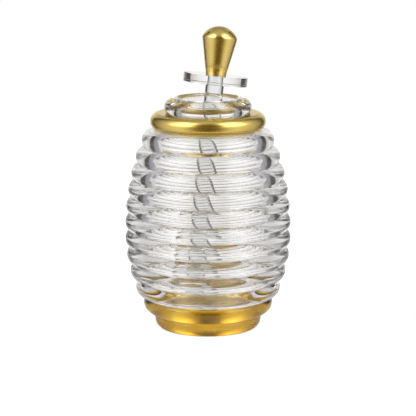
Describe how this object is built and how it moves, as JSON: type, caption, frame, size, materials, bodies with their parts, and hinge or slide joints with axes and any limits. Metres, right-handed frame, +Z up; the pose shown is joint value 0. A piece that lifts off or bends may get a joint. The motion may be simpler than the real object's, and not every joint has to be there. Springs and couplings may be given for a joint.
{
  "type": "honey jar with dipper",
  "caption": "Clear beehive-shaped jar with a ribbed round wall, a gold neck collar and a gold base plug, and a clear dipper with lid disc and gold knob leaning in its mouth.",
  "frame": {"origin": "on the jar's axis, at the underside of its foot", "axes": "+Z up along the jar's axis; the dipper leans towards +X and a little towards +Y, and its head lies towards -X"},
  "size_m": [0.079, 0.079, 0.1424],
  "materials": {
    "clear": "polished clear acrylic",
    "gold_collar": "satin gold",
    "gold_base": "turned satin gold",
    "gold_knob": "satin gold"
  },
  "bodies": {
    "root": {"jar_body": "clear", "collar": "gold_collar", "mouth_ring": "clear", "base_plug": "gold_base", "dipper_rod": "clear", "dipper_lid": "clear", "dipper_knob": "gold_knob"}
  },
  "joints": []
}
